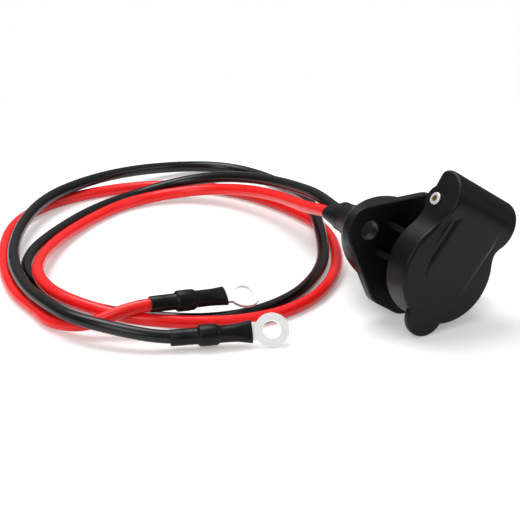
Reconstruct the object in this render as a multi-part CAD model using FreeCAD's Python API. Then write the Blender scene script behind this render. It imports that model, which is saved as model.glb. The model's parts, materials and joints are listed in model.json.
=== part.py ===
import FreeCAD, Part
import math
import os

# Accessory power socket with a spring lid, a rubber boot and two battery leads.
# Millimetres. The socket is drawn upright with its front towards -Y and its hinge at the top,
# then rolled about its own axis until it lies on one straight side of its flange.

V = FreeCAD.Vector

# Flange
ear_offset = 30.5
shoulder_x = 5.5
shoulder_z = 16.5
flange_round = 11.2
flange_thickness = 4.6
flange_edge_fillet = 0.8
bolt_hole_diameter = 9.0

# Nose and rear barrel of the housing
nose_radius = 15.2
barrel_radius = 18.4
barrel_step_y = 19.4
barrel_tail_radius = 14.8
barrel_rear_y = 27.0
rib_thickness = 2.8
rib_half_spacing = 6.8
rib_reach = 23.4

# Lid
lid_radius = 24.4
lid_front_y = -26.0
lid_rear_y = -12.4
lid_wall = 2.3
lid_rim_fillet = 1.6
cheek_half_width = 19.4
cheek_blend = 16.0
drum_radius = 12.8
drum_y = -17.4
drum_z = 27.8
drum_blend = 8.0
drum_corner_radius = 4.0
drum_mouth_z = 36.0
wedge_half_width = 14.6
wedge_tip_z = -7.0
wedge_fillet = 3.6
wedge_depth = 6.0
tab_half_width = 10.0
tab_centre_z = -21.4
tab_thickness = 3.4
tab_fillet = 1.0
cheek_boss_radius = 6.8

# Hinge
hinge_y = -16.8
hinge_z = 26.0
pin_radius = 2.0
pin_bore_radius = 1.4
pin_head_radius = 2.95
pin_head_thickness = 0.9
pin_clearance = 0.06
arm_thickness = 4.4
arm_side_gap = 0.7
arm_eye_radius = 4.6
arm_root_y = (-19.5, -6.0)
arm_bite = 0.2
spring_coil_radius = 3.5
spring_wire_radius = 0.5
spring_turns = 6.25
spring_end_gap = 0.2

# Running gaps
body_gap = 0.35
fit_gap = 0.05

# Contact stack
sleeve_bore_radius = 10.6
sleeve_wall = 1.2
sleeve_lip_radius = 13.4
sleeve_lip_thickness = 1.0
sleeve_seat_y = 13.8
sleeve_relief = 0.6
sleeve_base_y = 18.0
sleeve_base_thickness = 1.0
sleeve_base_hole_radius = 7.0
insulator_thickness = 3.0
insulator_boss_length = 1.6
contact_radius = 5.2
contact_thickness = 0.8
contact_cup_depth = 3.0
screw_radius = 2.0
screw_head_radius = 3.6
screw_head_height = 1.6
screw_end_y = 28.0
washer_radius = 4.4
washer_thickness = 0.8
nut_across_flats = 7.0
nut_height = 3.0
blade_width = 6.3
blade_thickness = 0.8
blade_z = 5.8
blade_insert = 8.0
negative_blade_z = 8.6
negative_foot_half = 1.7
rivet_radius = 1.2
rivet_head_radius = 1.5
rivet_head_height = 0.7
connector_width = 9.0
connector_height = 5.4
connector_length = 12.0
connector_front_y = 28.4
terminal_turn = 62.0

# Boot
boot_wall = 2.4
boot_seat_depth = 0.6
boot_shoulder_y = 20.0
boot_waist_y = 40.0
boot_waist_radius = 14.0
boot_throat_radius = 7.2
neck_end_y = 67.0
neck_half_height = 7.6
neck_half_width = 4.5

# Lid seal
seal_inner_radius = 12.2
seal_outer_radius = 17.2
seal_thickness = 1.4

# Cables
cable_radius = 3.0
cable_half_spacing = 3.1
cable_straight_y = 50.0
cable_exit_y = 70.0
slot_entry_gap = 0.4

# Ring terminals and their heat-shrink sleeves
shrink_length = 36.0
shrink_thickness = 0.5
shrink_bulge = 0.3
shrink_tail_half_width = 5.3
shrink_tail_half_height = 2.1
cable_insert = 12.0
crimp_length = 14.0
tongue_half_width = 4.0
lug_thickness = 1.6
ring_radius = 7.7
ring_hole_radius = 4.2
ring_offset = 45.0

# Routes of the two cables over the bench, from the neck of the boot to the heat-shrink sleeves
red_route = [
    (-1.7, 72, 23.3), (2.6, 94, 19.4), (4.8, 117, 15.5), (2, 140, 11.8), (-8, 161, 7.8),
    (-27, 174, 4.5), (-53, 174.5, 3.2), (-82, 160, 3.1), (-112, 135, 5), (-136.5, 101, 9.7),
    (-142.5, 72, 9.8), (-134, 48, 8.6), (-119.5, 28, 6.8), (-102.5, 9, 5), (-82.5, -0.5, 3.5),
    (-57, -1, 3.1), (-29.5, 12.5, 3.1), (-2.5, 41, 3.1), (15.5, 75, 3.1), (20.5, 100, 3.1),
    (18.5, 130, 3.1), (11, 158, 3.1), (-5, 181, 3.1), (-29, 192, 3.1), (-59.5, 193, 3.1),
    (-89, 185, 3.1), (-116, 168, 3.1), (-139.5, 133, 3.1), (-154, 92, 3.1), (-157, 62, 3.1),
    (-152, 42, 3.6), (-140, 29, 8.4),
]
red_shrink_start = V(-115.3, 22.8, 13.4)
red_lug_axis = V(45.8, -6.7, -1.9)
red_lug_twist = 29.0
black_route = [
    (3.9, 71, 29.2), (7.2, 94, 25.5), (8.7, 117.5, 21.6), (5.8, 141, 17.8), (-3, 163, 13.3),
    (-18, 178, 8.3), (-41, 183.5, 3.6), (-70, 175, 3.1), (-100, 155.5, 3.1), (-125, 134, 3.1),
    (-139.5, 107, 3.1), (-137, 73.5, 3.1), (-125, 46, 3.1), (-109, 29, 3.1), (-90, 16, 3.1),
    (-67, 10, 3.1), (-41, 16.5, 3.1), (-17, 34.5, 3.1), (0, 59, 4.5), (14, 88, 9.9), (25, 112, 9.9),
    (34, 144, 4.5), (35.5, 175, 3.1), (25.5, 201, 3.1), (1, 213, 4.3), (-33, 209, 8.3),
    (-63.5, 201, 9.7), (-93, 187, 9.8), (-120, 157.5, 9.8), (-142.5, 117.5, 9.8), (-156, 76, 9.8),
    (-156.5, 44, 10), (-149, 22, 10.2), (-138.5, 10.8, 8.2),
]
black_shrink_start = V(-116.9, 0.8, 5.8)
black_lug_axis = V(41.1, -16.8, 1)
black_lug_twist = 51.0

HINGE = V(0, hinge_y, hinge_z)
REAR = V(0, 1, 0)


def along_y(radius, y_start, y_end, x=0.0, z=0.0):
    return Part.makeCylinder(radius, y_end - y_start, V(x, y_start, z), REAR)


def along_x(radius, x_start, x_end, y, z):
    return Part.makeCylinder(radius, x_end - x_start, V(x_start, y, z), V(1, 0, 0))


def box(x_range, y_range, z_range):
    size = (x_range[1] - x_range[0], y_range[1] - y_range[0], z_range[1] - z_range[0])
    return Part.makeBox(*size, V(x_range[0], y_range[0], z_range[0]))


def extrude_x(edges, half_width):
    face = Part.Face(Part.Wire(edges))
    face.translate(V(-half_width, 0, 0))
    return face.extrude(V(2 * half_width, 0, 0))


def revolve_y(points):
    """Solid of revolution about the socket axis from (radius, y) points."""
    corners = [V(radius, y, 0) for radius, y in points]
    face = Part.Face(Part.makePolygon(corners + corners[:1]))
    return face.revolve(V(0, 0, 0), REAR, 360)


def line(start, end):
    return Part.LineSegment(start, end).toShape()


def arc(start, middle, end):
    return Part.Arc(start, middle, end).toShape()


def yz(y, z):
    return V(0, y, z)


def stadium(half_width, half_height, y_start, y_end):
    """Upright oval bar along Y with round top and bottom."""
    offset = half_height - half_width
    middle = box((-half_width, half_width), (y_start, y_end), (-offset, offset))
    ends = [along_y(half_width, y_start, y_end, 0, z) for z in (-offset, offset)]
    return middle.fuse(ends).removeSplitter()


def edges_at(shape, test):
    return [edge for edge in shape.Edges if test(edge.CenterOfMass)]


# Derived places
bore_radius = sleeve_bore_radius + sleeve_wall + fit_gap
seal_rear_y = lid_front_y + lid_wall + seal_thickness
nose_front_y = seal_rear_y + body_gap
insulator_y = sleeve_base_y + sleeve_base_thickness
stack_y = insulator_y + insulator_thickness
washer_y = stack_y + blade_thickness
nut_y = washer_y + washer_thickness
connector_rear_y = connector_front_y + connector_length
skirt_inner_radius = lid_radius - lid_wall
flange_rear_y = flange_thickness
boot_radius = barrel_radius + fit_gap + boot_wall
boot_front_y = flange_rear_y - boot_seat_depth
arm_outer_x = cheek_half_width - lid_wall - arm_side_gap
arm_inner_x = arm_outer_x - arm_thickness
arm_root_z = math.sqrt((nose_radius - arm_bite) ** 2 - arm_inner_x ** 2)


def flange_plate():
    corners = [(ear_offset, 0), (shoulder_x, shoulder_z), (-shoulder_x, shoulder_z),
               (-ear_offset, 0), (-shoulder_x, -shoulder_z), (shoulder_x, -shoulder_z)]
    points = [V(x, 0, z) for x, z in corners]
    core = Part.Face(Part.makePolygon(points + points[:1]))
    plate = core.makeOffset2D(flange_round).extrude(V(0, flange_thickness, 0))
    front_edges = edges_at(plate, lambda centre: abs(centre.y) < 1e-6)
    return plate.makeFillet(flange_edge_fillet, front_edges)


def hinge_arm():
    """Plate that rises from the nose to carry the hinge pin."""
    rear = yz(arm_root_y[1], arm_root_z)
    front = yz(arm_root_y[0], arm_root_z)
    top_rear = yz(hinge_y + arm_eye_radius, hinge_z)
    top_front = yz(hinge_y - arm_eye_radius, hinge_z)
    crown = yz(hinge_y, hinge_z + arm_eye_radius)
    edges = [line(front, rear), line(rear, top_rear), arc(top_rear, crown, top_front), line(top_front, front)]
    arm = Part.Face(Part.Wire(edges)).extrude(V(arm_outer_x - arm_inner_x, 0, 0))
    arm.translate(V(arm_inner_x, 0, 0))
    return arm


def socket_housing():
    rib_front_y = lid_rear_y + body_gap
    body = flange_plate()
    nose = along_y(nose_radius, nose_front_y, flange_rear_y)
    barrel = along_y(barrel_radius, flange_rear_y / 2, barrel_step_y)
    tail = along_y(barrel_tail_radius, flange_rear_y, barrel_rear_y)
    ribs = [box((-rib_reach, rib_reach), (rib_front_y, 0), (z - rib_thickness / 2, z + rib_thickness / 2))
            for z in (-rib_half_spacing, rib_half_spacing)]
    right_arm = hinge_arm()
    left_arm = right_arm.mirror(V(0, 0, 0), V(1, 0, 0))
    body = body.fuse([nose, barrel, tail, right_arm, left_arm] + ribs)
    pin_hole = along_x(pin_radius + pin_clearance, -arm_outer_x - 1, arm_outer_x + 1, hinge_y, hinge_z)
    lip_seat = along_y(sleeve_lip_radius + fit_gap, nose_front_y, nose_front_y + sleeve_lip_thickness)
    bore = along_y(bore_radius, nose_front_y, barrel_rear_y)
    boot_seat = along_y(boot_radius + fit_gap, boot_front_y, flange_rear_y)
    boot_seat = boot_seat.cut(along_y(barrel_radius, boot_front_y, flange_rear_y))
    bolt_holes = [along_y(bolt_hole_diameter / 2, -1, flange_rear_y + 1, x)
                  for x in (-ear_offset, ear_offset)]
    return body.cut([pin_hole, lip_seat, bore, boot_seat] + bolt_holes).removeSplitter()


def lid_side_view():
    """Outline seen along X: the flat cap, the hollow blend above its face and the round hinge drum."""
    blend_y = lid_front_y - drum_blend
    reach = drum_radius + drum_blend
    blend_z = drum_z - math.sqrt(reach ** 2 - (blend_y - drum_y) ** 2)
    share = drum_radius / reach
    on_drum = yz(drum_y + (blend_y - drum_y) * share, drum_z + (blend_z - drum_z) * share)
    on_face = yz(lid_front_y, blend_z)
    middle = (on_drum + on_face) / 2 - yz(blend_y, blend_z)
    blend_middle = yz(blend_y, blend_z) + middle.normalize() * drum_blend
    top_rear = yz(lid_rear_y, drum_z + math.sqrt(drum_radius ** 2 - (lid_rear_y - drum_y) ** 2))
    front = yz(drum_y - drum_radius, drum_z)
    bottom_rear = yz(lid_rear_y, -lid_radius - 1)
    bottom_front = yz(lid_front_y, -lid_radius - 1)
    return [line(bottom_rear, top_rear), arc(top_rear, front, on_drum), arc(on_drum, blend_middle, on_face),
            line(on_face, bottom_front), line(bottom_front, bottom_rear)]


def lid_front_view():
    """Outline seen along Y: the round cap, drawn in by hollow blends to the width of the cheeks."""
    centre_x = cheek_half_width + cheek_blend
    reach = lid_radius + cheek_blend
    centre_z = math.sqrt(reach ** 2 - centre_x ** 2)
    top_z = drum_z + drum_radius + 1
    share = lid_radius / reach
    on_cap = V(centre_x * share, 0, centre_z * share)
    on_cheek = V(cheek_half_width, 0, centre_z)
    inwards = (on_cap + on_cheek) / 2 - V(centre_x, 0, centre_z)
    blend_middle = V(centre_x, 0, centre_z) + inwards.normalize() * cheek_blend
    top = V(cheek_half_width, 0, top_z)

    def left(point):
        return V(-point.x, 0, point.z)
    return [arc(left(on_cap), V(0, 0, -lid_radius), on_cap), arc(on_cap, blend_middle, on_cheek),
            line(on_cheek, top), line(top, left(top)), line(left(top), left(on_cheek)),
            arc(left(on_cheek), left(blend_middle), left(on_cap))]


def lid_block():
    """Cap, cheeks and drum in one: what the side view and the front view have in common."""
    block = extrude_x(lid_side_view(), lid_radius + 1)
    depth = drum_y - drum_radius - 1
    front = Part.Face(Part.Wire(lid_front_view()))
    front.translate(V(0, depth, 0))
    block = block.common(front.extrude(V(0, lid_rear_y - depth, 0))).removeSplitter()
    rim = edges_at(block, lambda centre: centre.y < lid_rear_y - 1e-3 and abs(centre.x) > 1e-3
                   or abs(centre.y - lid_front_y) < 1e-3 and centre.z < 0)
    return block.makeFillet(lid_rim_fillet, rim).cut(drum_corner())


def drum_corner():
    """What is taken off the drum's upper rear corner to leave it round."""
    y = lid_rear_y - drum_corner_radius
    z = drum_z + math.sqrt((drum_radius - drum_corner_radius) ** 2 - (y - drum_y) ** 2)
    half = cheek_half_width + 1
    corner = box((-half, half), (y, lid_rear_y + 1), (z, drum_z + drum_radius + 1))
    return corner.cut(along_x(drum_corner_radius, -half, half, y, z))


def lid_wedge():
    """Raised panel with rounded sides that runs from the drum down to a tip on the lid's face."""
    tip = yz(lid_front_y, wedge_tip_z)
    to_drum = yz(drum_y, drum_z) - tip
    distance = to_drum.Length
    lean = math.asin(drum_radius / distance) - math.atan2(to_drum.y, to_drum.z)
    run = math.sqrt(distance ** 2 - drum_radius ** 2)
    top = tip + yz(-math.sin(lean), math.cos(lean)) * run
    back_y = lid_front_y + wedge_depth
    back_top = yz(back_y, top.z)
    back_tip = yz(back_y, wedge_tip_z)
    panel = extrude_x([line(tip, top), line(top, back_top), line(back_top, back_tip), line(back_tip, tip)],
                      wedge_half_width)
    sides = edges_at(panel, lambda centre: abs(centre.x) > wedge_half_width - 1e-6
                     and abs(centre.z - (tip.z + top.z) / 2) < 1e-6 and centre.y < lid_front_y)
    return panel.makeFillet(wedge_fillet, sides)


def lift_tab():
    rear_y = lid_front_y + tab_thickness
    tab = along_y(tab_half_width, lid_front_y, rear_y, 0, tab_centre_z)
    rounded = edges_at(tab, lambda centre: min(abs(centre.y - lid_front_y), abs(centre.y - rear_y)) < 1e-6)
    return tab.makeFillet(tab_fillet, rounded)


def lid():
    bosses = along_x(cheek_boss_radius, -cheek_half_width, cheek_half_width, hinge_y, hinge_z)
    shell = lid_block().fuse([lid_wedge(), lift_tab(), bosses])
    inner_y = lid_front_y + lid_wall
    cheek_inner = cheek_half_width - lid_wall
    open_y = lid_rear_y + 10
    cup = along_y(skirt_inner_radius, inner_y, open_y)
    drum_hollow = along_x(drum_radius - lid_wall, -cheek_inner, cheek_inner, drum_y, drum_z)
    front_half = box((-cheek_inner, cheek_inner), (drum_y - drum_radius, drum_y), (0, 100))
    drum_hollow = drum_hollow.common(front_half)
    hinge_room = box((-cheek_inner, cheek_inner), (inner_y, open_y), (0, drum_z))
    drum_mouth = box((-cheek_inner, cheek_inner), (drum_y, open_y), (drum_z - 1, drum_mouth_z))
    pin_end = cheek_half_width + 1
    pin_hole = along_x(pin_radius + pin_clearance, -pin_end, pin_end, hinge_y, hinge_z)
    return shell.cut([cup, drum_hollow, hinge_room, drum_mouth, pin_hole]).removeSplitter()


def lid_seal():
    front_y = lid_front_y + lid_wall
    ring = along_y(seal_outer_radius, front_y, seal_rear_y)
    return ring.cut(along_y(seal_inner_radius, front_y, seal_rear_y))


def hinge_pin():
    """Hollow rivet with a domed head on the left and a rolled rim on the right."""
    inside = cheek_half_width + body_gap
    outside = inside + pin_head_thickness
    shank = along_x(pin_radius, -outside, outside, hinge_y, hinge_z)
    heads = [along_x(pin_head_radius, -outside, -inside, hinge_y, hinge_z),
             along_x(pin_head_radius, inside, outside, hinge_y, hinge_z)]
    pin = shank.fuse(heads).removeSplitter()
    rims = edges_at(pin, lambda centre: abs(centre.x) > outside - 1e-6)
    pin = pin.makeFillet(pin_head_thickness / 2, rims)
    return pin.cut(along_x(pin_bore_radius, -outside - 1, outside + 1, hinge_y, hinge_z))


def lid_spring():
    """Torsion coil round the pin with a tail down on the nose and a tail forward against the drum."""
    pitch = 2 * spring_wire_radius + 0.25
    length = pitch * spring_turns
    coil = Part.makeHelix(pitch, length, spring_coil_radius)
    profile = Part.Wire(Part.makeCircle(spring_wire_radius, V(spring_coil_radius, 0, 0), V(0, 1, 0)))
    spring = Part.Wire(coil).makePipeShell([profile], True, True)
    nose_leg = hinge_z - math.sqrt(nose_radius ** 2 - (length / 2) ** 2) - spring_end_gap
    drum_inner = drum_radius - lid_wall
    drum_wall_y = drum_y - math.sqrt(drum_inner ** 2 - (hinge_z + spring_coil_radius - drum_z) ** 2)
    lid_leg = hinge_y - drum_wall_y - spring_end_gap
    tails = [Part.makeCylinder(spring_wire_radius, nose_leg, V(spring_coil_radius, 0, 0), V(0, -1, 0)),
             Part.makeCylinder(spring_wire_radius, lid_leg, V(0, spring_coil_radius, length), V(-1, 0, 0))]
    spring = spring.fuse(tails).removeSplitter()
    spring.translate(V(0, 0, -length / 2))
    spring.rotate(V(0, 0, 0), V(0, 1, 0), 90)
    spring.rotate(V(0, 0, 0), V(1, 0, 0), 90)
    spring.translate(HINGE)
    return spring


def contact_sleeve():
    outer = sleeve_bore_radius + sleeve_wall
    tube = along_y(outer, nose_front_y, insulator_y)
    lip = along_y(sleeve_lip_radius, nose_front_y, nose_front_y + sleeve_lip_thickness)
    bore = along_y(sleeve_bore_radius, nose_front_y, sleeve_seat_y)
    relief = along_y(sleeve_bore_radius + sleeve_relief, sleeve_seat_y, sleeve_base_y)
    base_hole = along_y(sleeve_base_hole_radius, nose_front_y, insulator_y)
    rivet_hole = along_y(rivet_radius + fit_gap, sleeve_base_y, insulator_y, 0, negative_blade_z)
    sleeve = tube.fuse(lip).cut([bore, relief, base_hole, rivet_hole]).removeSplitter()
    mouth = edges_at(sleeve, lambda centre: abs(centre.y - nose_front_y) < 1e-6)
    return sleeve.makeFillet(sleeve_lip_thickness * 0.4, mouth)


def insulator_disc():
    """Disc behind the sleeve with a boss through its base hole, notched for the negative blade."""
    disc = along_y(bore_radius - 2 * fit_gap, insulator_y, stack_y)
    boss = along_y(sleeve_base_hole_radius - fit_gap, insulator_y - insulator_boss_length, insulator_y)
    hole = along_y(screw_radius + fit_gap, insulator_y - insulator_boss_length, stack_y)
    notch_width = blade_width / 2 + 0.4
    notch = box((-notch_width, notch_width), (insulator_y, stack_y),
                (negative_blade_z - negative_foot_half - 0.2, bore_radius))
    return disc.fuse(boss).cut([hole, notch]).removeSplitter()


def centre_contact():
    """Dished brass cup clamped to the insulator's boss."""
    seat_y = insulator_y - insulator_boss_length
    front_y = seat_y - contact_cup_depth
    outer = revolve_y([(0, seat_y), (contact_radius - 1, seat_y), (contact_radius, seat_y - 1),
                       (contact_radius, front_y), (0, front_y)])
    inner_radius = contact_radius - contact_thickness
    floor_y = seat_y - contact_thickness
    inner = revolve_y([(0, floor_y), (inner_radius - 0.6, floor_y), (inner_radius, floor_y - 0.6),
                       (inner_radius, front_y), (0, front_y)])
    slots = [box((-0.6, 0.6), (front_y, seat_y - 1.2), (0, contact_radius + 1)) for _ in range(3)]
    for number, slot in enumerate(slots):
        slot.rotate(V(0, 0, 0), REAR, 120 * number)
    hole = along_y(screw_radius + fit_gap, front_y, seat_y)
    return outer.cut([inner, hole] + slots)


def centre_screw():
    seat_y = insulator_y - insulator_boss_length - contact_thickness
    head = along_y(screw_head_radius, seat_y - screw_head_height, seat_y)
    shank = along_y(screw_radius, seat_y, screw_end_y)
    slot = box((-screw_head_radius, screw_head_radius),
               (seat_y - screw_head_height, seat_y - screw_head_height / 2), (-0.5, 0.5))
    dome = edges_at(head, lambda centre: abs(centre.y - seat_y + screw_head_height) < 1e-6)
    return head.makeFillet(screw_head_height * 0.4, dome).fuse(shank).cut(slot).removeSplitter()


def screw_washer():
    hole = along_y(screw_radius + fit_gap, washer_y, nut_y)
    return along_y(washer_radius, washer_y, nut_y).cut(hole)


def screw_nut():
    corner = nut_across_flats / math.sqrt(3)
    points = [V(corner * math.cos(math.radians(60 * n)), nut_y, corner * math.sin(math.radians(60 * n)))
              for n in range(7)]
    hexagon = Part.Face(Part.makePolygon(points)).extrude(V(0, nut_height, 0))
    return hexagon.cut(along_y(screw_radius + fit_gap, nut_y, nut_y + nut_height))


def positive_terminal():
    """Strip from under the washer, bent back into a blade for the spade connector."""
    half = blade_width / 2
    outer_z = -blade_z - blade_thickness / 2
    pad = along_y(half, stack_y, washer_y)
    foot = box((-half, half), (stack_y, washer_y), (outer_z, 0))
    blade_end_y = connector_front_y + blade_insert
    blade = box((-half, half), (stack_y, blade_end_y), (outer_z, outer_z + blade_thickness))
    hole = along_y(screw_radius + fit_gap, stack_y, washer_y)
    return pad.fuse([foot, blade]).cut(hole).removeSplitter()


def negative_terminal():
    """Strip riveted to the sleeve's base, stepped inwards to its spade connector."""
    half = blade_width / 2
    rear_y = insulator_y + blade_thickness
    low = negative_blade_z - negative_foot_half
    riser_z = negative_blade_z + rivet_head_radius + 2 * fit_gap
    high = riser_z + blade_thickness
    step_y = stack_y + 2.0
    blade_low = blade_z - blade_thickness / 2
    foot = box((-half, half), (insulator_y, rear_y), (low, high))
    riser = box((-half, half), (insulator_y, step_y), (riser_z, high))
    step = box((-half, half), (step_y - blade_thickness, step_y), (blade_low, high))
    blade = box((-half, half), (step_y - blade_thickness, connector_front_y + blade_insert),
                (blade_low, blade_low + blade_thickness))
    hole = along_y(rivet_radius + fit_gap, insulator_y, rear_y, 0, negative_blade_z)
    return foot.fuse([riser, step, blade]).cut(hole).removeSplitter()


def negative_rivet():
    front_y = sleeve_base_y
    rear_y = insulator_y + blade_thickness
    z = negative_blade_z
    shank = along_y(rivet_radius, front_y - rivet_head_height, rear_y + rivet_head_height, 0, z)
    heads = [along_y(rivet_head_radius, front_y - rivet_head_height, front_y, 0, z),
             along_y(rivet_head_radius, rear_y, rear_y + rivet_head_height, 0, z)]
    return shank.fuse(heads).removeSplitter()


def spade_connector(side):
    """Insulated push-on connector; side is +1 for the upper one and -1 for the lower one."""
    half = connector_width / 2
    z = side * blade_z
    shell = box((-half, half), (connector_front_y, connector_rear_y),
                (z - connector_height / 2, z + connector_height / 2))
    long_edges = edges_at(shell, lambda centre: abs(abs(centre.x) - half) < 1e-6
                          and abs(centre.y - (connector_front_y + connector_rear_y) / 2) < 1e-6)
    shell = shell.makeFillet(connector_height * 0.35, long_edges)
    slot_half = blade_width / 2 + fit_gap
    slot_rise = blade_thickness / 2 + fit_gap
    slot = box((-slot_half, slot_half), (connector_front_y, connector_front_y + blade_insert + fit_gap),
               (z - slot_rise, z + slot_rise))
    return shell.cut(slot)


def boot_outline(inset):
    """Bell from the flange to the throat, moved inwards by inset: a dome and a flare on one tangent."""
    drop = boot_radius - boot_waist_radius
    rise = boot_waist_y - boot_shoulder_y
    dome_radius = (drop ** 2 + rise ** 2) / (2 * drop)
    turn = math.asin(rise / dome_radius)
    flare_radius = (boot_waist_radius - boot_throat_radius) / (1 - math.cos(turn))
    throat_y = boot_waist_y + flare_radius * math.sin(turn)

    def on_dome(angle):
        return V(boot_radius - inset - dome_radius * (1 - math.cos(angle)),
                 boot_shoulder_y + dome_radius * math.sin(angle), 0)

    def on_flare(angle):
        return V(boot_throat_radius - inset + flare_radius * (1 - math.cos(angle)),
                 throat_y - flare_radius * math.sin(angle), 0)
    start = V(boot_radius - inset, boot_front_y, 0)
    throat = on_flare(0)
    axis_end = V(0, throat_y, 0)
    axis_start = V(0, boot_front_y, 0)
    return throat_y, [line(start, on_dome(0)), arc(on_dome(0), on_dome(turn / 2), on_dome(turn)),
                      arc(on_flare(turn), on_flare(turn / 2), throat), line(throat, axis_end),
                      line(axis_end, axis_start), line(axis_start, start)]


def rubber_boot():
    """Bell over the barrel with an oval neck round the two cables."""
    throat_y, outside = boot_outline(0)
    inside = boot_outline(boot_wall)[1]
    bell = Part.Face(Part.Wire(outside)).revolve(V(0, 0, 0), REAR, 360)
    hollow = Part.Face(Part.Wire(inside)).revolve(V(0, 0, 0), REAR, 360)
    neck_start_y = throat_y - 2 * boot_wall
    neck = Part.makeLoft([oval_y(boot_throat_radius, neck_half_height, neck_start_y),
                          oval_y(neck_half_width, neck_half_height, neck_end_y)], True)
    slot = cable_slot(fit_gap, throat_y - boot_wall, neck_end_y)
    entry = cable_slot(slot_entry_gap, cable_straight_y, throat_y - boot_wall)
    return bell.fuse(neck).cut([hollow, slot, entry]).removeSplitter()


def oval_y(half_width, half_height, y):
    """Oval wire across the Y axis, taller than it is wide."""
    oval = Part.Ellipse(V(0, y, half_height), V(half_width, y, 0), V(0, y, 0))
    return Part.Wire(oval.toShape())


def cable_slot(gap, y_start, y_end):
    """Oval passage for the two cables, one above the other."""
    return stadium(cable_radius + gap, cable_half_spacing + cable_radius + gap, y_start, y_end)


def place_socket(shapes):
    """Roll the socket on to a straight side of its flange and stand its box on the origin."""
    roll = math.degrees(math.atan2(shoulder_z, ear_offset - shoulder_x))
    for shape in shapes.values():
        shape.rotate(V(0, 0, 0), REAR, roll)
    bounds = Part.makeCompound(list(shapes.values())).optimalBoundingBox()
    shift = V(-bounds.Center.x, -bounds.Center.y, -bounds.ZMin)
    for shape in shapes.values():
        shape.translate(shift)
    return roll, shift


socket = {
    "socket_housing": socket_housing(),
    "lid": lid(),
    "lid_seal": lid_seal(),
    "hinge_pin": hinge_pin(),
    "lid_spring": lid_spring(),
    "contact_sleeve": contact_sleeve(),
    "insulator_disc": insulator_disc(),
    "centre_contact": centre_contact(),
    "centre_screw": centre_screw(),
    "screw_washer": screw_washer(),
    "screw_nut": screw_nut(),
    "positive_terminal": positive_terminal(),
    "negative_terminal": negative_terminal(),
    "negative_rivet": negative_rivet(),
    "positive_connector": spade_connector(-1),
    "negative_connector": spade_connector(1),
    "rubber_boot": rubber_boot(),
}
turned_pieces = ["contact_sleeve", "insulator_disc", "positive_terminal", "negative_terminal",
                 "negative_rivet", "positive_connector", "negative_connector", "rubber_boot"]
for turned in turned_pieces:
    socket[turned].rotate(V(0, 0, 0), REAR, terminal_turn)
roll_angle, bench_shift = place_socket(socket)


def on_bench(point):
    """Place of a point of the contact stack once it is turned and the socket lies on the bench."""
    return FreeCAD.Rotation(REAR, roll_angle + terminal_turn).multVec(point) + bench_shift


def cable_points(side, route, shrink_start, lug_axis):
    """Control points of a cable; side is +1 for the upper one and -1 for the lower one."""
    leaving = [V(0, connector_rear_y, side * blade_z), V(0, cable_straight_y, side * cable_half_spacing),
               V(0, cable_exit_y, side * cable_half_spacing)]
    direction = V(lug_axis).normalize()
    arriving = [shrink_start - direction * 12 + V(0, 0, 0.05), shrink_start + direction * 2,
                shrink_start + direction * cable_insert]
    return [on_bench(point) for point in leaving] + [V(*point) for point in route] + arriving


def cable(points):
    """Tube along straight runs joined by tangent arcs; also gives the radii and the length of its line."""
    edges = []
    radii = []
    last = points[0]
    for before, corner, after in zip(points, points[1:], points[2:]):
        incoming = before - corner
        outgoing = after - corner
        half_turn = (math.pi - incoming.getAngle(outgoing)) / 2
        reach = 0.45 * min(incoming.Length, outgoing.Length)
        radius = reach / math.tan(half_turn)
        start = corner + incoming.normalize() * reach
        end = corner + outgoing.normalize() * reach
        inwards = (incoming + outgoing).normalize()
        middle = corner + inwards * (radius / math.cos(half_turn) - radius)
        edges += [line(last, start), arc(start, middle, end)]
        radii.append(radius)
        last = end
    edges.append(line(last, points[-1]))
    path = Part.Wire(edges)
    section = Part.Wire(Part.makeCircle(cable_radius, points[0], points[1] - points[0]))
    return path.makePipeShell([section], True, False), radii, path.Length


def place_lug(shape, shrink_start, lug_axis, twist):
    """Turn a piece drawn along X to its lug's twist and direction, at the start of its sleeve."""
    shape.rotate(V(0, 0, 0), V(1, 0, 0), twist)
    turn = FreeCAD.Rotation(V(1, 0, 0), lug_axis)
    shape.Placement = FreeCAD.Placement(shrink_start, turn) * shape.Placement
    return shape


def across_x(half_width, half_height, x):
    """Oval wire across the X axis."""
    oval = Part.Ellipse(V(x, half_width, 0), V(x, 0, half_height), V(x, 0, 0))
    return Part.Wire(oval.toShape())


def ring_terminal():
    """Crimp barrel that flattens into a tongue with a ring."""
    crimp_end = cable_insert + crimp_length
    barrel = Part.makeCylinder(cable_radius, crimp_length, V(cable_insert, 0, 0), V(1, 0, 0))
    tongue_start = shrink_length - 2
    flattened = Part.makeLoft([Part.Wire(Part.makeCircle(cable_radius, V(crimp_end, 0, 0), V(1, 0, 0))),
                               across_x(tongue_half_width, lug_thickness / 2, tongue_start)], True)
    tongue = Part.makeBox(ring_offset - tongue_start, 2 * tongue_half_width, lug_thickness,
                          V(tongue_start, -tongue_half_width, -lug_thickness / 2))
    ring = Part.makeCylinder(ring_radius, lug_thickness, V(ring_offset, 0, -lug_thickness / 2))
    hole = Part.makeCylinder(ring_hole_radius, lug_thickness, V(ring_offset, 0, -lug_thickness / 2))
    return barrel.fuse([flattened, tongue, ring]).cut(hole).removeSplitter()


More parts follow.
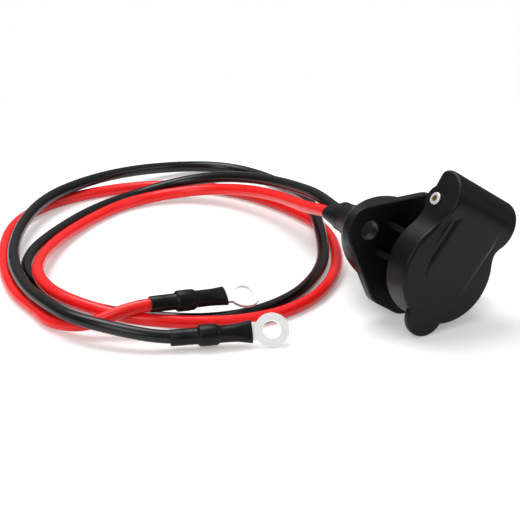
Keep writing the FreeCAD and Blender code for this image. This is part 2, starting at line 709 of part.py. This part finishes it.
def heat_shrink():
    """Sleeve over the cable's end and the crimp, pressed flat where it runs out over the tongue."""
    def tube(wall):
        crimp_end = cable_insert + crimp_length
        radius = cable_radius + fit_gap + wall
        crimp = cable_radius + fit_gap + wall + shrink_bulge * (wall > 0)
        body = [(0, radius), (cable_insert - 2, radius), (cable_insert + 2, crimp), (crimp_end, crimp)]
        corners = [V(x, 0, r) for x, r in body]
        corners += [V(crimp_end, 0, 0), V(0, 0, 0)]
        face = Part.Face(Part.makePolygon(corners + corners[:1]))
        round_part = face.revolve(V(0, 0, 0), V(1, 0, 0), 360)
        start = Part.Wire(Part.makeCircle(crimp, V(crimp_end, 0, 0), V(1, 0, 0)))
        end = across_x(shrink_tail_half_width - shrink_thickness + wall,
                       shrink_tail_half_height - shrink_thickness + wall, shrink_length)
        tail = Part.makeLoft([start, end], True)
        return round_part.fuse(tail).removeSplitter()
    return tube(shrink_thickness).cut(tube(0))


def lead(colour, side, route, shrink_start, lug_axis, twist):
    """Cable, heat-shrink sleeve and ring terminal of one colour, by node name."""
    points = cable_points(side, route, shrink_start, lug_axis)
    tube, radii, length = cable(points)
    print(colour, "length", round(length, 1), "radii", [round(radius, 1) for radius in radii])
    print(colour, "volume over section times length", tube.Volume / (math.pi * cable_radius ** 2 * length))
    return {
        colour + "_cable": tube,
        colour + "_heat_shrink": place_lug(heat_shrink(), shrink_start, lug_axis, twist),
        colour + "_ring_terminal": place_lug(ring_terminal(), shrink_start, lug_axis, twist),
    }


pieces = dict(socket)
pieces.update(lead("red", -1, red_route, red_shrink_start, red_lug_axis, red_lug_twist))
pieces.update(lead("black", 1, black_route, black_shrink_start, black_lug_axis, black_lug_twist))

os.makedirs("parts", exist_ok=True)
for name, shape in pieces.items():
    print(name, shape.isValid(), len(shape.Solids), round(shape.Volume, 1))
    shape.exportStep("parts/" + name + ".step")
print("roll", roll_angle, "shift", bench_shift)
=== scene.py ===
import json
import math

import bpy
from mathutils import Matrix, Vector


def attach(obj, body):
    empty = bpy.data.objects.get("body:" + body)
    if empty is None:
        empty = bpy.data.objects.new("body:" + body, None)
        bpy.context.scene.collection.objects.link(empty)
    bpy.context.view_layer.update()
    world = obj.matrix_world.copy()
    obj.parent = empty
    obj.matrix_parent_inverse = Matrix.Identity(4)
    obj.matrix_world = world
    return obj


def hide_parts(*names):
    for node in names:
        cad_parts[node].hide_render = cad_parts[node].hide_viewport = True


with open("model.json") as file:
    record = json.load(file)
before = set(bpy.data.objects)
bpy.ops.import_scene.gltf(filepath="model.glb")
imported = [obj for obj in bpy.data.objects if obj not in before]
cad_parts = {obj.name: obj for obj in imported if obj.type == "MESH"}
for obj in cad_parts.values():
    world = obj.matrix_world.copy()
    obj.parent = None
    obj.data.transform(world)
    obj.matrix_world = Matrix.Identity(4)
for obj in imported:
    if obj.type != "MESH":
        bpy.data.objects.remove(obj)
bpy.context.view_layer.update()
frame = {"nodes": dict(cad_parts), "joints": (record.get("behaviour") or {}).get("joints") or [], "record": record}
record = frame["record"]
nodes = frame["nodes"]
MM = 0.001

# Camera, from the photograph's frame of 520 by 520 pixels
photo_width = 520
focal_length_px = 1760
sensor_width = 36.0
camera_azimuth = math.radians(-30.7)
camera_elevation = math.radians(21.4)
camera_place = Vector((-442.0, -623.5, 317.8)) * MM

# Cables
cable_radius = 3.0 * MM
cable_half_spacing = 3.1
connector_rear_y = 40.4
cable_straight_y = 50.0
cable_exit_y = 70.0
terminal_turn = math.radians(62)
blade_z = 5.8
flange_thickness = 4.6
cable_insert = 12.0
red_route = [
    (-1.7, 72, 23.3), (2.6, 94, 19.4), (4.8, 117, 15.5), (2, 140, 11.8), (-8, 161, 7.8),
    (-27, 174, 4.5), (-53, 174.5, 3.2), (-82, 160, 3.1), (-112, 135, 5), (-138, 98.4, 9.7),
    (-144, 69.5, 9.8), (-136, 45, 8.6), (-121.4, 24.8, 6.8), (-100.3, 12.7, 5), (-79.1, 5.3, 3.5),
    (-53.9, 4.5, 3.1), (-27.5, 16, 3.1), (-2.5, 41, 3.1), (15.5, 75, 3.1), (20.5, 100, 3.1),
    (18.5, 130, 3.1), (11, 158, 3.1), (-5, 181, 3.1), (-31, 196, 3.1), (-63, 200, 3.1), (-93, 193, 3.1),
    (-119.5, 172, 3.1), (-140, 133.5, 3.1), (-152.4, 93.6, 3.1), (-152, 64.9, 3.1), (-153.2, 47.2, 3.9),
    (-143, 31.6, 5.5), (-126, 25.1, 12.6),
]
red_shrink_start = Vector((-115.3, 22.8, 13.4))
red_lug_axis = Vector((45.8, -6.7, -1.9)).normalized()
red_lug_twist = math.radians(29)
black_route = [
    (3.9, 71, 29.2), (7.2, 94, 25.5), (8.7, 117.5, 21.6), (5.8, 141, 17.8), (-3, 163, 13.3),
    (-18, 178, 8.3), (-41, 183.5, 3.6), (-70, 175, 3.1), (-100, 155.5, 3.1), (-125, 134, 3.1),
    (-139.5, 107, 3.1), (-137, 73.5, 3.1), (-125, 46, 3.1), (-109, 29, 3.1), (-90.5, 15, 3.1),
    (-67, 11, 3.1), (-39.5, 19.5, 3.1), (-14.7, 39.5, 3.1), (0.4, 59, 4.5), (14.4, 88, 9.9),
    (25, 112, 9.9), (34, 144, 4.5), (35.5, 175, 3.1), (25.5, 201, 3.1), (1, 213, 4.3), (-33, 209, 8.3),
    (-63.5, 201, 9.7), (-92.3, 188.1, 9.2), (-118, 160.9, 8), (-140.7, 120.5, 8.2), (-150.9, 81.6, 8.9),
    (-151.4, 51.1, 10.2), (-149, 32.9, 10.7), (-137.2, 15.8, 9.3), (-126.2, 5.7, 7.4),
]
black_shrink_start = Vector((-116.9, 0.8, 5.8))
black_lug_axis = Vector((41.1, -16.8, 1)).normalized()
black_lug_twist = math.radians(51)

# Heat-shrink sleeves: distance along the lug, half width and half height of the outside
sleeve_wall = 0.5
sleeve_stations = [
    (0, 3.55, 3.55), (0.3, 3.7, 3.7), (6, 3.75, 3.75), (11.6, 3.75, 3.75), (12.1, 3.95, 3.95),
    (12.7, 4.7, 4.7), (13.2, 4.85, 4.85), (17, 4.9, 4.9), (20.3, 4.8, 4.8), (20.8, 4.6, 4.6),
    (21.4, 4.1, 4.1), (22, 3.95, 3.95), (25, 3.95, 3.85), (28.5, 4.05, 3.75), (31, 4.4, 3.3),
    (33.5, 4.9, 2.7), (35.6, 5.3, 2.25), (36, 5.25, 2.15),
]
sleeve_sides = 64
sharp_edge = math.radians(40)

# Finishes
plastic_shine = 0.2
vinyl_shine = 0.35
mould_grain = 0.00002
rivet_bore_radius = 1.45 * MM

# Studio
floor_middle = Vector((-0.03, 0.05, 0))
floor_radius = 0.34
floor_sides = 128
floor_grey = 0.82
floor_glow = 0.30
surround_low = 0.12
surround_high = 0.60
light_target = (-0.06, 0.06, 0.02)

# Axes of the upright socket, in the row frame
hinge = frame["joints"][0]
socket_x = -Vector(hinge["axis"])
socket_y = Vector((0, 1, 0))
socket_z = socket_x.cross(socket_y)
panel_bolts = next(mount for mount in record["mounts"] if mount["name"] == "panel_bolts")
socket_origin = Vector(panel_bolts["pos_m"]) - socket_y * flange_thickness * MM


def on_bench(x, y, z):
    """Place in the row frame of a point of the upright socket, in millimetres."""
    return socket_origin + (socket_x * x + socket_y * y + socket_z * z) * MM


def on_stack(y, offset):
    """Place in the row frame of a point of the contact stack, which is turned about the socket's axis."""
    return on_bench(offset * math.sin(terminal_turn), y, offset * math.cos(terminal_turn))


def node_setup(name):
    """New material with its tree, its shader and texture coordinates."""
    material = bpy.data.materials.new(name)
    material.use_nodes = True
    tree = material.node_tree
    shader = tree.nodes["Principled BSDF"]
    place = tree.nodes.new("ShaderNodeTexCoord")
    return material, tree, shader, place.outputs["Object"]


def noise(tree, place, scale, detail=3.0, rough=0.55):
    texture = tree.nodes.new("ShaderNodeTexNoise")
    texture.inputs["Scale"].default_value = scale
    texture.inputs["Detail"].default_value = detail
    texture.inputs["Roughness"].default_value = rough
    tree.links.new(place, texture.inputs["Vector"])
    return texture.outputs["Fac"]


def span(tree, value, low, high):
    """Spread a 0.3 to 0.7 noise over low to high."""
    mapping = tree.nodes.new("ShaderNodeMapRange")
    mapping.inputs["From Min"].default_value = 0.3
    mapping.inputs["From Max"].default_value = 0.7
    mapping.inputs["To Min"].default_value = low
    mapping.inputs["To Max"].default_value = high
    tree.links.new(value, mapping.inputs["Value"])
    return mapping.outputs["Result"]


def two_tone(tree, value, first, second):
    ramp = tree.nodes.new("ShaderNodeValToRGB")
    ramp.color_ramp.elements[0].position = 0.35
    ramp.color_ramp.elements[0].color = (*first, 1)
    ramp.color_ramp.elements[1].position = 0.65
    ramp.color_ramp.elements[1].color = (*second, 1)
    tree.links.new(value, ramp.inputs["Fac"])
    return ramp.outputs["Color"]


def bump(tree, shader, height, distance):
    node = tree.nodes.new("ShaderNodeBump")
    node.inputs["Strength"].default_value = 1.0
    node.inputs["Distance"].default_value = distance
    tree.links.new(height, node.inputs["Height"])
    tree.links.new(node.outputs["Normal"], shader.inputs["Normal"])


def moulded_plastic(name, colour, shade, roughness):
    """Moulded plastic with a fine spark-eroded grain and faint flow clouds."""
    material, tree, shader, place = node_setup(name)
    clouds = noise(tree, place, 60, 2)
    tree.links.new(two_tone(tree, clouds, colour, shade), shader.inputs["Base Color"])
    tree.links.new(span(tree, clouds, roughness - 0.05, roughness + 0.05), shader.inputs["Roughness"])
    shader.inputs["Specular IOR Level"].default_value = plastic_shine
    bump(tree, shader, noise(tree, place, 2600, 4, 0.6), mould_grain)
    return material


def smooth_vinyl(name, colour, shade, roughness):
    """Extruded vinyl jacket: glossy, with the slight ripple of its strands."""
    material, tree, shader, place = node_setup(name)
    tree.links.new(two_tone(tree, noise(tree, place, 90, 2), colour, shade), shader.inputs["Base Color"])
    tree.links.new(span(tree, noise(tree, place, 60, 1), roughness - 0.03, roughness + 0.03),
                   shader.inputs["Roughness"])
    shader.inputs["Specular IOR Level"].default_value = vinyl_shine
    bump(tree, shader, noise(tree, place, 120, 1), 0.000004)
    return material


def soft_rubber(name, colour, shade, roughness):
    """Moulded rubber with a satin skin."""
    material, tree, shader, place = node_setup(name)
    tree.links.new(two_tone(tree, noise(tree, place, 70, 3), colour, shade), shader.inputs["Base Color"])
    tree.links.new(span(tree, noise(tree, place, 140, 3), roughness - 0.06, roughness + 0.08),
                   shader.inputs["Roughness"])
    shader.inputs["Specular IOR Level"].default_value = plastic_shine
    bump(tree, shader, noise(tree, place, 1500, 3), 0.00001)
    return material


def plated_metal(name, colour, shade, roughness, ripple=0.00002, metallic=1.0):
    """Plated or bright metal with tumbling marks."""
    material, tree, shader, place = node_setup(name)
    shader.inputs["Metallic"].default_value = metallic
    tree.links.new(two_tone(tree, noise(tree, place, 180, 4), colour, shade), shader.inputs["Base Color"])
    tree.links.new(span(tree, noise(tree, place, 500, 4), roughness - 0.08, roughness + 0.1),
                   shader.inputs["Roughness"])
    bump(tree, shader, noise(tree, place, 700, 4), ripple)
    return material


finishes = {
    "housing_plastic": moulded_plastic("housing_plastic", (0.0032, 0.0034, 0.0038),
                                       (0.0042, 0.0044, 0.0048), 0.40),
    "lid_plastic": moulded_plastic("lid_plastic", (0.0030, 0.0032, 0.0035), (0.0040, 0.0042, 0.0045), 0.38),
    "seal_rubber": soft_rubber("seal_rubber", (0.004, 0.004, 0.004), (0.006, 0.006, 0.006), 0.7),
    "nickel_plate": plated_metal("nickel_plate", (0.72, 0.69, 0.63), (0.80, 0.77, 0.70), 0.22),
    "spring_steel": plated_metal("spring_steel", (0.55, 0.55, 0.56), (0.66, 0.66, 0.66), 0.28),
    "insulator_plastic": moulded_plastic("insulator_plastic", (0.33, 0.20, 0.09), (0.38, 0.24, 0.12), 0.55),
    "contact_brass": plated_metal("contact_brass", (0.74, 0.53, 0.22), (0.82, 0.62, 0.28), 0.25),
    "connector_red": smooth_vinyl("connector_red", (0.5, 0.01, 0.012), (0.56, 0.015, 0.016), 0.35),
    "connector_black": smooth_vinyl("connector_black", (0.004, 0.004, 0.004), (0.006, 0.006, 0.006), 0.35),
    "boot_rubber": soft_rubber("boot_rubber", (0.0036, 0.0038, 0.0042), (0.0048, 0.005, 0.0054), 0.40),
    "cable_red": smooth_vinyl("cable_red", (0.90, 0.010, 0.011), (0.95, 0.014, 0.014), 0.24),
    "cable_black": smooth_vinyl("cable_black", (0.0025, 0.0025, 0.0027), (0.0035, 0.0035, 0.0037), 0.24),
    "heat_shrink": soft_rubber("heat_shrink", (0.0025, 0.0025, 0.0027), (0.0035, 0.0035, 0.0037), 0.34),
    "tin_plate": plated_metal("tin_plate", (0.93, 0.93, 0.92), (0.96, 0.96, 0.95), 0.42, 0.000006, 0.6),
}


def hollow_rivet(name, head, bore):
    """Bright rivet whose bore shows the bare brass, told apart by the distance from the hinge line."""
    material = plated_metal(name, head, head, 0.30, 0.000006, 0.7)
    tree = material.node_tree
    shader = tree.nodes["Principled BSDF"]
    place = tree.nodes["Texture Coordinate"]
    arm = tree.nodes.new("ShaderNodeVectorMath")
    arm.operation = "SUBTRACT"
    arm.inputs[1].default_value = hinge["pos_m"]
    tree.links.new(place.outputs["Object"], arm.inputs[0])
    across = tree.nodes.new("ShaderNodeVectorMath")
    across.operation = "CROSS_PRODUCT"
    across.inputs[1].default_value = hinge["axis"]
    tree.links.new(arm.outputs["Vector"], across.inputs[0])
    distance = tree.nodes.new("ShaderNodeVectorMath")
    distance.operation = "LENGTH"
    tree.links.new(across.outputs["Vector"], distance.inputs[0])
    inside = tree.nodes.new("ShaderNodeMath")
    inside.operation = "LESS_THAN"
    inside.inputs[1].default_value = rivet_bore_radius
    tree.links.new(distance.outputs["Value"], inside.inputs[0])
    mix = tree.nodes.new("ShaderNodeMix")
    mix.data_type = "RGBA"
    mix.inputs["B"].default_value = (*bore, 1)
    tree.links.new(shader.inputs["Base Color"].links[0].from_socket, mix.inputs["A"])
    tree.links.new(inside.outputs[0], mix.inputs["Factor"])
    tree.links.new(mix.outputs["Result"], shader.inputs["Base Color"])
    return material


def dress_nodes():
    """Give every carried-over solid the finish of its record slot, and the hinge pin its own."""
    for subpart in record["subparts"]:
        piece = nodes[subpart["node"]]
        piece.data.materials.clear()
        piece.data.materials.append(finishes[subpart["material_slot"]])
    rivet = hollow_rivet("rivet", (0.92, 0.91, 0.88), (0.75, 0.58, 0.16))
    nodes["hinge_pin"].data.materials[0] = rivet


def cable_points(side, route, shrink_start, lug_axis):
    """Control points of a cable in metres; side is +1 for the upper one and -1 for the lower one."""
    leaving = [on_stack(connector_rear_y, side * blade_z),
               on_stack(cable_straight_y, side * cable_half_spacing),
               on_stack(cable_exit_y, side * cable_half_spacing)]
    arriving = [shrink_start + lug_axis * 2, shrink_start + lug_axis * cable_insert]
    return leaving + [Vector(point) * MM for point in route] + [point * MM for point in arriving]


def make_cable(colour, points):
    """Lead as one smooth spline, which stands for the CAD's tube and ends in its sleeve and ring."""
    curve = bpy.data.curves.new(colour + "_lead", "CURVE")
    curve.dimensions = "3D"
    curve.bevel_depth = cable_radius
    curve.bevel_resolution = 7
    curve.resolution_u = 10
    curve.use_fill_caps = True
    spline = curve.splines.new("NURBS")
    spline.points.add(len(points) - 1)
    for control, point in zip(spline.points, points):
        control.co = (*point, 1)
    spline.order_u = 3
    spline.use_endpoint_u = True
    piece = bpy.data.objects.new(colour + "_lead", curve)
    bpy.context.scene.collection.objects.link(piece)
    curve.materials.append(finishes["cable_" + colour])
    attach(piece, "socket")
    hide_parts(colour + "_cable")


def make_sleeve(colour, shrink_start, lug_axis, twist):
    """Heat-shrink drawn tight over the cable, the collar of the crimp and the root of the tongue."""
    inside = [(x, width - sleeve_wall, height - sleeve_wall) for x, width, height in sleeve_stations]
    rings = sleeve_stations + inside[::-1]
    turn = Vector((1, 0, 0)).rotation_difference(lug_axis).to_matrix() @ Matrix.Rotation(twist, 3, "X")
    corners = []
    for x, width, height in rings:
        for number in range(sleeve_sides):
            angle = math.tau * number / sleeve_sides
            corner = Vector((x, width * math.cos(angle), height * math.sin(angle)))
            corners.append((shrink_start + turn @ corner) * MM)
    faces = []
    for ring in range(len(rings)):
        first, second = ring * sleeve_sides, (ring + 1) % len(rings) * sleeve_sides
        for number in range(sleeve_sides):
            after = (number + 1) % sleeve_sides
            faces.append((first + number, first + after, second + after, second + number))
    mesh = bpy.data.meshes.new(colour + "_sleeve")
    mesh.from_pydata(corners, [], faces)
    mesh.validate()
    mesh.polygons.foreach_set("use_smooth", [True] * len(mesh.polygons))
    mesh.set_sharp_from_angle(angle=sharp_edge)
    mesh.materials.append(finishes["heat_shrink"])
    piece = bpy.data.objects.new(colour + "_sleeve", mesh)
    bpy.context.scene.collection.objects.link(piece)
    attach(piece, "socket")
    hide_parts(colour + "_heat_shrink")
    return piece


def make_floor():
    """Pale round floor under the object, seen as white where no shadow falls."""
    angles = [math.tau * number / floor_sides for number in range(floor_sides)]
    rim = [Vector((math.cos(angle), math.sin(angle), 0)) * floor_radius for angle in angles]
    corners = [floor_middle + point for point in rim]
    mesh = bpy.data.meshes.new("floor")
    mesh.from_pydata(corners, [], [tuple(range(floor_sides))])
    floor = bpy.data.objects.new("floor", mesh)
    bpy.context.scene.collection.objects.link(floor)
    material, tree, shader, _ = node_setup("floor_white")
    shader.inputs["Base Color"].default_value = (floor_grey, floor_grey, floor_grey, 1)
    shader.inputs["Roughness"].default_value = 0.35
    path = tree.nodes.new("ShaderNodeLightPath")
    seen = tree.nodes.new("ShaderNodeMath")
    seen.operation = "MAXIMUM"
    tree.links.new(path.outputs["Is Camera Ray"], seen.inputs[0])
    tree.links.new(path.outputs["Is Glossy Ray"], seen.inputs[1])
    glow = tree.nodes.new("ShaderNodeMath")
    glow.operation = "MULTIPLY"
    glow.inputs[1].default_value = floor_glow
    tree.links.new(seen.outputs[0], glow.inputs[0])
    shader.inputs["Emission Color"].default_value = (1, 1, 1, 1)
    tree.links.new(glow.outputs[0], shader.inputs["Emission Strength"])
    mesh.materials.append(material)


def make_world():
    """Studio surround, bright overhead and dim at the sides, and white behind the object."""
    world = bpy.data.worlds.new("studio")
    bpy.context.scene.world = world
    world.use_nodes = True
    tree = world.node_tree
    background = tree.nodes["Background"]
    background.inputs["Color"].default_value = (1, 1, 1, 1)
    place = tree.nodes.new("ShaderNodeTexCoord")
    axes = tree.nodes.new("ShaderNodeSeparateXYZ")
    tree.links.new(place.outputs["Generated"], axes.inputs["Vector"])
    height = tree.nodes.new("ShaderNodeMapRange")
    height.inputs["To Min"].default_value = surround_low
    height.inputs["To Max"].default_value = surround_high
    tree.links.new(axes.outputs["Z"], height.inputs["Value"])
    path = tree.nodes.new("ShaderNodeLightPath")
    level = tree.nodes.new("ShaderNodeMapRange")
    level.inputs["To Max"].default_value = 1.0
    tree.links.new(path.outputs["Is Camera Ray"], level.inputs["Value"])
    tree.links.new(height.outputs["Result"], level.inputs["To Min"])
    tree.links.new(level.outputs["Result"], background.inputs["Strength"])


def soft_box(name, place, width, height, power):
    """Rectangular lamp aimed at the middle of the object, with its sizes in metres and its power in watts."""
    lamp = bpy.data.lights.new(name, "AREA")
    lamp.shape = "RECTANGLE"
    lamp.size = width
    lamp.size_y = height
    lamp.energy = power
    lamp_object = bpy.data.objects.new(name, lamp)
    bpy.context.scene.collection.objects.link(lamp_object)
    lamp_object.location = place
    lamp_object.rotation_mode = "QUATERNION"
    lamp_object.rotation_quaternion = (Vector(light_target) - Vector(place)).to_track_quat("-Z", "Y")


def make_lights():
    soft_box("top_box", (-0.1, 0.40, 1.0), 0.7, 0.7, 9.0)
    soft_box("left_box", (-1.0, -0.5, 0.7), 0.7, 0.9, 5.0)
    soft_box("right_box", (0.9, -0.7, 0.6), 0.5, 0.7, 1.8)


def make_camera():
    camera = bpy.data.cameras.new("camera")
    camera.sensor_width = sensor_width
    camera.lens = sensor_width * focal_length_px / photo_width
    camera.clip_end = 20
    camera_object = bpy.data.objects.new("camera", camera)
    bpy.context.scene.collection.objects.link(camera_object)
    back = Vector((math.sin(camera_azimuth) * math.cos(camera_elevation),
                   -math.cos(camera_azimuth) * math.cos(camera_elevation), math.sin(camera_elevation)))
    camera_object.location = camera_place
    camera_object.rotation_mode = "QUATERNION"
    camera_object.rotation_quaternion = (-back).to_track_quat("-Z", "Y")
    bpy.context.scene.camera = camera_object


make_camera()
dress_nodes()
red_sleeve = make_sleeve("red", red_shrink_start, red_lug_axis, red_lug_twist)
black_sleeve = make_sleeve("black", black_shrink_start, black_lug_axis, black_lug_twist)
red_points = cable_points(-1, red_route, red_shrink_start, red_lug_axis)
black_points = cable_points(1, black_route, black_shrink_start, black_lug_axis)
make_cable("red", red_points)
make_cable("black", black_points)
make_floor()
make_world()
make_lights()
bpy.context.scene.view_settings.view_transform = "Standard"
